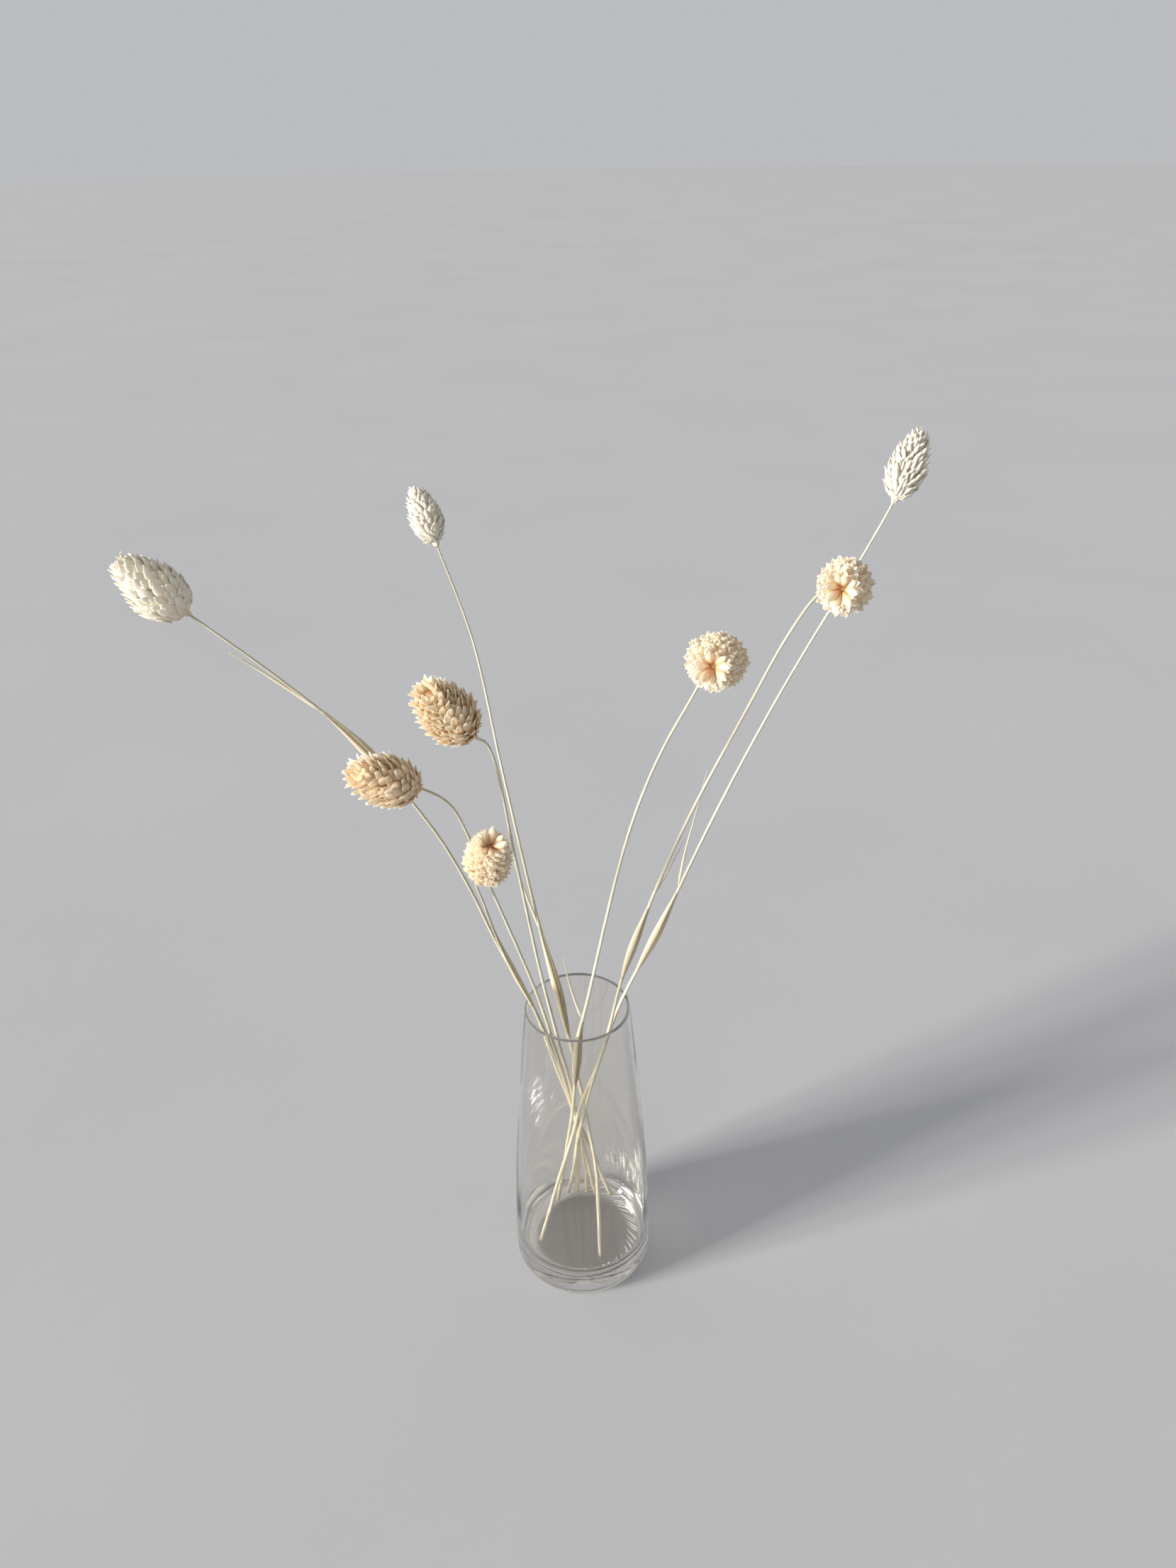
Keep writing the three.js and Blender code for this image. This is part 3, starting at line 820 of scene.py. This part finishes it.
def make_stem(stalk, material):
    """A hollow straw with a cut foot, and a node where its leaf grows."""
    points = stem_points(stalk)
    length = arc_length(points)
    count = 2 * len(points)
    path = resample(points, 0, length[-1], count)
    along = np.linspace(0, length[-1], count)
    share = along / length[-1]
    node = np.zeros(count)
    if "sheath" in stalk:
        start, _ = sheath_span(stalk, length, points)
        node = np.exp(-((along - start) / (NODE_LENGTH * MM)) ** 2)
    radius = stem_radius(share) * MM * (1 + NODE_SWELL * node)
    tangents, sides, ups = frames_along(path)

    # The first two rings line the hollow of the foot, from its end to the cut
    path = np.vstack([path[0] + tangents[0] * STEM_HOLLOW_DEPTH * MM, path[:1], path])
    sides = np.vstack([sides[:1], sides[:1], sides])
    ups = np.vstack([ups[:1], ups[:1], ups])
    radius = np.concatenate([[radius[0] * STEM_HOLLOW_SHARE] * 2, radius])[:, None]
    share = np.concatenate([[0, 0], share])[:, None]
    along = np.concatenate([[0, 0], along])[:, None]
    node = np.concatenate([[1, 1], node])[:, None]

    angles = np.linspace(0, 2 * math.pi, STEM_SIDES, endpoint=False)
    tone = random.random()
    grains = triples(
        STEM_FIBRES * np.cos(angles) + STRAW_SHIFT * tone,
        STEM_FIBRES * np.sin(angles),
        along / MM / STEM_FIBRE_LENGTH,
    )
    piece = Piece()
    piece.rings(rings_along(path, sides, ups, radius, radius, angles), triples(share, node, tone), grains)
    return piece.build("straw_" + stalk["name"], material)


def make_sheath(stalk, material):
    """The papery sheath of the leaf: tight at its node, swollen above, and open along one side."""
    sheath = stalk["sheath"]
    points = stem_points(stalk)
    length = arc_length(points)
    start, end = sheath_span(stalk, length, points)
    path = resample(points, start, end, SHEATH_ROWS)
    _, sides, ups = frames_along(path)
    share = np.linspace(0, 1, SHEATH_ROWS)[:, None]
    around = np.linspace(0, 1, SHEATH_COLUMNS)
    held = stem_radius(np.linspace(start, end, SHEATH_ROWS)[:, None] / length[-1])
    tight = held + SHEATH_ROOM * np.minimum(1, share * SHEATH_WIDENING) - SHEATH_GRIP
    swell = sheath["swell"] * np.sin(math.pi * share ** SWELL_PLACE) ** SWELL_SHARPNESS
    opening = OPENING_FOOT + OPENING_GAIN * np.clip(share - OPENING_START, 0, 1) ** OPENING_CURVE
    angles = opening + (2 * math.pi - 2 * opening) * around + OPENING_TURN
    flute = 1 + FLUTE_DEPTH * np.sin(angles * FLUTES + share * FLUTE_TWIST)
    wide = (tight + swell) * MM * flute
    deep = (tight + SHEATH_DEPTH * swell) * MM * flute
    tone = random.random()
    edge = np.maximum(0, (abs(around * 2 - 1) - 1) * SHEATH_EDGE + 1)
    grains = triples(
        around * SHEATH_FIBRES + STRAW_SHIFT * tone, 0.0, share * sheath["half"] / SHEATH_FIBRE_LENGTH
    )
    piece = Piece()
    grid = rings_along(path, sides, ups, wide, deep, angles)
    piece.shell(grid, SHEATH_WALL * MM, triples(share, edge, tone), grains)
    return piece.build("sheath_" + stalk["name"], material)


def make_blade(stalk, material):
    """The dry leaf blade above the sheath: a thin strip folded along its middle, narrowed to a thread."""
    path = smooth_path(stalk["blade"], BLADE_ROWS - 1) * MM
    _, sides, ups = frames_along(path)
    share = np.linspace(0, 1, BLADE_ROWS)[:, None]
    across = np.linspace(-1, 1, BLADE_COLUMNS)
    half = (BLADE_HALF_WIDTH * (1 - share) ** BLADE_TAPER + BLADE_THREAD) * MM
    half = half * np.minimum(1, BLADE_ROOT + share * BLADE_ROOT_GAIN)
    curl = BLADE_CURL * share
    lean = sides * np.cos(curl) + ups * np.sin(curl)
    up = ups * np.cos(curl) - sides * np.sin(curl)
    grid = (
        path[:, None]
        + lean[:, None] * (half * across)[..., None]
        + up[:, None] * (half * BLADE_FOLD * abs(across))[..., None]
    )
    tone = random.random()
    grains = triples(across * BLADE_FIBRES + STRAW_SHIFT * tone, 0.0, share * BLADE_FIBRE_REPEATS)
    piece = Piece()
    piece.shell(grid, BLADE_WALL * MM, triples(share, 0.0, tone), grains)
    return piece.build("blade_" + stalk["name"], material)


# Heads

class HeadShape:
    """Where a head is and how wide it is. Heights along its axis start at the neck, or just above it."""

    def __init__(self, stalk, look):
        neck = np.array(stalk["route"][-1], float)
        axis = np.array(stalk["tip"], float) - neck
        reach = np.linalg.norm(axis)
        self.axis = axis / reach
        self.neck = neck + self.axis * look["start"]
        self.reach = reach - look["start"]
        self.radius = stalk["radius"]
        self.oval = look["oval"]
        self.side = unit(np.cross(self.axis, (0, 0, 1.0)))
        self.third = np.cross(self.axis, self.side)

    def envelope(self, share, blunt=1.0):
        """Radius over the tips of the glumes, at a share of the way up."""
        share = np.clip(share, 0, 1) * blunt
        fullness = np.interp(share, (0, HEAD_NECK_SHARE), (HEAD_NECK_FULLNESS, HEAD_FULLNESS))
        return self.radius * np.sin(math.pi * share ** HEAD_SWELL) ** fullness

    def out(self, angle):
        """Away from the axis at an angle round it, shorter or longer than 1 where the head is oval."""
        return self.side * math.cos(angle) * self.oval[0] + self.third * math.sin(angle) * self.oval[1]

    def place(self, height, angle, radius):
        """The point at a height above the neck, an angle round the axis and a radius from it."""
        return self.neck + self.axis * height + self.out(angle) * radius


def add_glume(piece, root, along, outwards, size, tip, tone):
    """One glume folded along its keel, which bulges outwards, and open towards its partner. size is its
    length, depth and half width, and tip is how far its tip bends outwards and aside."""
    length, depth, width = size
    up = np.linspace(0, 1, GLUME_ROWS)[:, None]
    over = np.array(GLUME_COLUMNS)
    rising = np.clip(up / GLUME_WIDEST, 0, 1)
    falling = np.clip((up - GLUME_WIDEST) / (1 - GLUME_WIDEST), 0, 1)
    lower = np.sin(math.pi / 2 * rising) ** GLUME_ROOT_POWER
    upper = np.cos(math.pi / 2 * falling) ** GLUME_TIP_POWER
    outline = np.maximum(lower * upper, GLUME_LEAST_WIDTH)
    height = depth * outline * (1 - abs(over) ** GLUME_KEEL_POWER) + tip[0] * up ** 3
    aside = width * outline * np.sign(over) * abs(over) ** GLUME_SIDE_POWER + tip[1] * up ** 3
    grid = (
        root
        + along * (up * length)[..., None]
        + np.cross(along, outwards) * aside[..., None]
        + outwards * height[..., None]
    )
    thickness = GLUME_THICKNESS * (1 - GLUME_THINNING * up)
    grains = triples(over * GLUME_VEINS + GLUME_SHIFT * tone, 0.0, up * GLUME_VEIN_REPEATS)
    piece.shell(grid * MM, thickness * MM, triples(up, abs(over), tone), grains)


def add_core(piece, shape):
    """The hidden core that the spikelets grow from."""
    angles = np.linspace(0, 2 * math.pi, CORE_SIDES, endpoint=False)
    rings = []
    for share in np.linspace(0, 1, CORE_RINGS):
        height = share * shape.reach * CORE_LENGTH_SHARE
        radius = max(CORE_SHARE * float(shape.envelope(share)), CORE_LEAST_RADIUS)
        rings.append([shape.place(height, angle, radius) for angle in angles])
    piece.rings(np.array(rings) * MM, (0.0, 1, 0.5), (0, 0, 0))


def add_collar(piece, shape):
    """A collar of small bracts round the neck."""
    for i in range(COLLAR_GLUMES):
        angle = i * 2 * math.pi / COLLAR_GLUMES + random.uniform(-COLLAR_ANGLE_PLAY, COLLAR_ANGLE_PLAY)
        out = shape.out(angle)
        root = shape.place(-random.uniform(*COLLAR_ROOT_DEPTH), angle, COLLAR_ROOT_RADIUS)
        target = shape.place(COLLAR_TIP_HEIGHT, angle, random.uniform(*COLLAR_TIP_RADIUS))
        along = unit(target - root)
        outwards = unit(out - along * out.dot(along))
        size = COLLAR_SIZE * random.uniform(*COLLAR_SIZE_PLAY)
        add_glume(piece, root, along, outwards, size, (0, 0), random.random())


def spiral_shares(shape, look):
    """Shares of the way up a head for the tips of its spikelets, evenly spread over its surface."""
    shares = np.linspace(FIRST_TIPS, 1, SPIRAL_STEPS)
    radii = shape.envelope(shares, look["blunt"])
    pitch = np.interp(shares, HEAD_STATIONS, STATION_PITCH) * look["pitch"]
    density = radii / pitch ** 2
    slant = np.hypot(np.diff(radii), np.diff(shares) * shape.reach)
    held = np.concatenate([[0], np.cumsum(2 * math.pi * slant * (density[1:] + density[:-1]) / 2)])
    return np.interp(np.arange(int(held[-1])) + 0.5, held, shares)


def add_spikelets(piece, shape, look):
    """Pairs of folded glumes whose tips lie on a golden-angle spiral over the head."""
    for i, share in enumerate(spiral_shares(shape, look)):
        angle = i * GOLDEN_ANGLE + random.uniform(-ANGLE_PLAY, ANGLE_PLAY)
        lean = np.interp(share, LEAN_STATIONS, look["lean"]) + random.uniform(-LEAN_PLAY, LEAN_PLAY)
        lean = math.radians(lean)
        growth = np.interp(share, HEAD_STATIONS, STATION_GROWTH) * random.uniform(*GROWTH_PLAY)
        length = look["length"] * growth
        tip_radius = float(shape.envelope(share, look["blunt"])) + random.uniform(*TIP_DEPTH_PLAY)
        tip_radius = max(tip_radius, LEAST_TIP_RADIUS)
        tip_height = share * (shape.reach + look["beyond"]) + random.uniform(*TIP_HEIGHT_PLAY)
        root_height = max(tip_height - length * math.cos(lean), LEAST_ROOT_HEIGHT)
        least_radius = np.interp(share, EYE_STATIONS, (EYE_RADIUS, look["eye"]))
        root_radius = max(tip_radius - length * math.sin(lean), least_radius)
        root = shape.place(root_height, angle, root_radius)
        along = unit(shape.place(tip_height, angle, tip_radius) - root)
        out = shape.out(angle)
        outwards = unit(out - along * out.dot(along))
        outwards = turn(outwards, along, random.uniform(-1, 1) * look["twist"])
        tone = random.random()
        for hand in (1, -1):
            size = (length * random.uniform(*LENGTH_PLAY), look["depth"] * growth, look["width"] * growth)
            tip = (random.uniform(*look["gape"]), random.uniform(-TIP_ASIDE_PLAY, TIP_ASIDE_PLAY))
            glume_tone = min(1, max(0, tone + random.uniform(-TONE_PLAY, TONE_PLAY)))
            add_glume(piece, root, along, outwards * hand, size, tip, glume_tone)


def make_head(stalk, material):
    look = HEAD_LOOKS[stalk["name"]]
    shape = HeadShape(stalk, look)
    piece = Piece()
    add_core(piece, shape)
    add_collar(piece, shape)
    add_spikelets(piece, shape, look)
    return piece.build("scales_" + stalk["name"], material)


# Stage, light and camera

def direction(azimuth, elevation):
    flat = math.cos(elevation)
    return Vector((flat * math.cos(azimuth), flat * math.sin(azimuth), math.sin(elevation)))


def make_stage():
    angles = np.linspace(0, 2 * math.pi, FLOOR_SIDES, endpoint=False)
    border = [(FLOOR_RADIUS * math.cos(angle), FLOOR_RADIUS * math.sin(angle), 0) for angle in angles]
    mesh = bpy.data.meshes.new("floor")
    mesh.from_pydata(border, [], [range(FLOOR_SIDES)])
    mesh.materials.append(floor_material())
    floor = bpy.data.objects.new("floor", mesh)
    floor.location.z = -FLOOR_DROP
    bpy.context.scene.collection.objects.link(floor)


def make_window(towards):
    """The panes of the window, side by side and facing the vase."""
    turned = (-towards).to_track_quat("-Z", "Y")
    step = WINDOW_WIDTH / WINDOW_PANES
    for i in range(WINDOW_PANES):
        lamp = bpy.data.lights.new("window_pane", "AREA")
        lamp.shape = "RECTANGLE"
        lamp.size = step - WINDOW_BAR
        lamp.size_y = WINDOW_HEIGHT
        lamp.energy = math.pi * WINDOW_DISTANCE ** 2 * WINDOW_IRRADIANCE / WINDOW_PANES
        lamp.color = WINDOW_COLOUR
        pane = bpy.data.objects.new("window_pane", lamp)
        aside = turned @ Vector(((i - (WINDOW_PANES - 1) / 2) * step, 0, 0))
        pane.location = towards * WINDOW_DISTANCE + aside
        pane.rotation_mode = "QUATERNION"
        pane.rotation_quaternion = turned
        bpy.context.scene.collection.objects.link(pane)


def make_sky(towards_window):
    world = bpy.data.worlds.new("studio")
    world.use_nodes = True
    sky = Tree("studio", world.node_tree, "World")
    towards_sky = sky.node("TexCoord").outputs["Generated"]
    facing = []
    for middle in (towards_window, direction(GLOW_AZIMUTH, GLOW_ELEVATION)):
        dot = sky.node("VectorMath", operation="DOT_PRODUCT")
        sky.put(dot.inputs[0], towards_sky)
        sky.put(dot.inputs[1], middle)
        facing.append(dot.outputs["Value"])
    height = sky.parts(towards_sky)["Z"]
    above = sky.mix(sky.ramp(facing[0], *WINDOW_SIDE), SKY_DARK, SKY_PALE)
    above = sky.mix(sky.ramp(height, *OVERHEAD_BAND), above, SKY_TOP)
    above = sky.mix(sky.ramp(facing[1], *GLOW_EDGE), above, SKY_GLOW)
    colour = sky.mix(sky.ramp(height, *HORIZON_BAND), SKY_PALE, above)
    background = sky.node("Background", {"Color": colour})
    sky.tree.links.new(background.outputs["Background"], sky.output.inputs["Surface"])
    bpy.context.scene.world = world


def make_camera():
    """The camera looks along +Y, pitched down and slightly rolled, as in the photo."""
    level = Vector((1, 0, 0))
    forward = Vector((0, math.cos(CAMERA_PITCH), -math.sin(CAMERA_PITCH)))
    upright = Vector((0, math.sin(CAMERA_PITCH), math.cos(CAMERA_PITCH)))
    right = level * math.cos(CAMERA_ROLL) + upright * math.sin(CAMERA_ROLL)
    up = upright * math.cos(CAMERA_ROLL) - level * math.sin(CAMERA_ROLL)
    lens = bpy.data.cameras.new("camera")
    lens.sensor_width = CAMERA_SENSOR
    lens.lens = CAMERA_LENS
    lens.clip_start = CAMERA_NEAREST
    camera = bpy.data.objects.new("camera", lens)
    turned = Matrix((right, up, -forward)).transposed().to_4x4()
    camera.matrix_world = Matrix.Translation(CAMERA_PLACE) @ turned
    bpy.context.scene.collection.objects.link(camera)
    bpy.context.scene.camera = camera


# The scene

random.seed(RANDOM_SEED)
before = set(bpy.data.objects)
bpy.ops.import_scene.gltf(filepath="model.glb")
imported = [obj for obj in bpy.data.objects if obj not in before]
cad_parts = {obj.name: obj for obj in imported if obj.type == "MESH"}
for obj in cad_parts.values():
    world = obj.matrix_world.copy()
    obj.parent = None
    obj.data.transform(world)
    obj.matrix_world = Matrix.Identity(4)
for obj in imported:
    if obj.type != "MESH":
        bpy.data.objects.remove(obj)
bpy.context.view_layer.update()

straw = straw_material("dry_straw", **STRAW_LOOK)
paper = straw_material("papery_sheath", **PAPER_LOOK)
scales = {name: scale_material(name, **look) for name, look in SCALE_LOOKS.items()}
glass = glass_material("clear_glass")
rim_glass = glass_material("rim_glass", RIM_GLOW, RIM_GLOW_SHARE)

vase = make_vase(glass, rim_glass)
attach(vase, "root")
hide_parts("vase")
for stalk in STALKS:
    grown = [make_stem(stalk, straw)]
    if "sheath" in stalk:
        grown.append(make_sheath(stalk, paper))
    if "blade" in stalk:
        grown.append(make_blade(stalk, paper))
    for part in grown:
        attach(part, "root")
    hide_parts("stem_" + stalk["name"])
    head = make_head(stalk, scales[stalk.get("scales", stalk["slot"])])
    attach(head, "root")
    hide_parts("head_" + stalk["name"])

make_stage()
window = direction(WINDOW_AZIMUTH, WINDOW_ELEVATION)
make_window(window)
make_sky(window)
make_camera()
bpy.context.scene.view_settings.view_transform = "Standard"
cycles = bpy.context.scene.cycles
cycles.max_bounces = LIGHT_BOUNCES
cycles.glossy_bounces = LIGHT_BOUNCES
cycles.transmission_bounces = LIGHT_BOUNCES
cycles.sample_clamp_indirect = LIGHT_CLAMP
